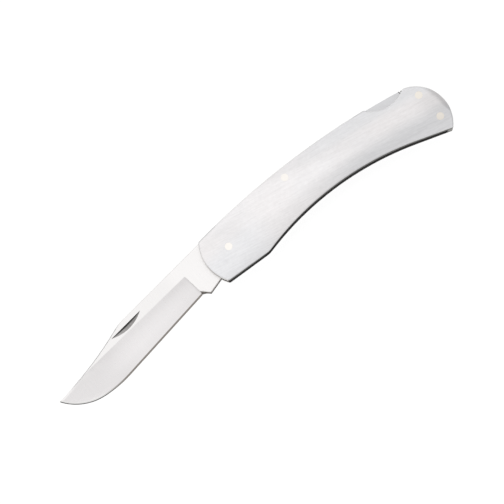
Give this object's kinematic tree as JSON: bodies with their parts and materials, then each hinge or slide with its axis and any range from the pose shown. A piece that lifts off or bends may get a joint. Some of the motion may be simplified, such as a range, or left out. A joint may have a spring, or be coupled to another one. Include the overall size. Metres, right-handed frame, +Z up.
{
  "type": "folding pocket knife",
  "caption": "Lockback folding pocket knife with a hollow-ground clip-point blade, a curved bare-steel handle and a thumb scallop over the lock bar.",
  "frame": {"origin": "middle of the opened knife's footprint, on the surface it lies on", "axes": "+X from the blade's tip to the butt, +Y towards the spine, +Z up out of the front scale"},
  "size_m": [0.1756, 0.0358, 0.0102],
  "materials": {
    "handle_steel": "satin, brushed slantwise along the handle",
    "blade_steel": "satin, ground across the blade",
    "spring_steel": "fine ground",
    "pin_metal": "nickel silver, ground flush and polished",
    "washer_bronze": "rolled bronze"
  },
  "bodies": {
    "handle": {"front_scale": "handle_steel", "rear_scale": "handle_steel", "butt_spacer": "spring_steel", "pivot_pin": "pin_metal", "lock_bar_pin": "pin_metal", "spacer_pin_upper": "pin_metal", "spacer_pin_lower": "pin_metal", "front_washer": "washer_bronze", "rear_washer": "washer_bronze"},
    "blade": {"blade": "blade_steel"},
    "lock_bar": {"lock_bar": "spring_steel"},
    "leaf": {"leaf_spring": "spring_steel"}
  },
  "joints": [
    {"name": "blade_pivot", "type": "hinge", "parent": "handle", "child": "blade", "pos_m": [-0.00515, 0.00899, 0.00509], "axis": [0, 0, 1], "range_deg": [0, 168]},
    {"name": "lock_bar_rock", "type": "hinge", "parent": "handle", "child": "lock_bar", "pos_m": [0.02685, 0.01233, 0.00509], "axis": [0, 0, -1], "range_deg": [-1.4, 2.2], "stiffness_Nm_per_rad": 1},
    {"name": "leaf_flex", "type": "hinge", "parent": "handle", "child": "leaf", "pos_m": [0.08075, -0.0039, 0.00509], "axis": [0, 0, 1], "range_deg": [-1.8, 2.8]}
  ],
  "couplings": [
    {"joint": "leaf_flex", "follows": "lock_bar_rock", "ratio": 1.255}
  ]
}
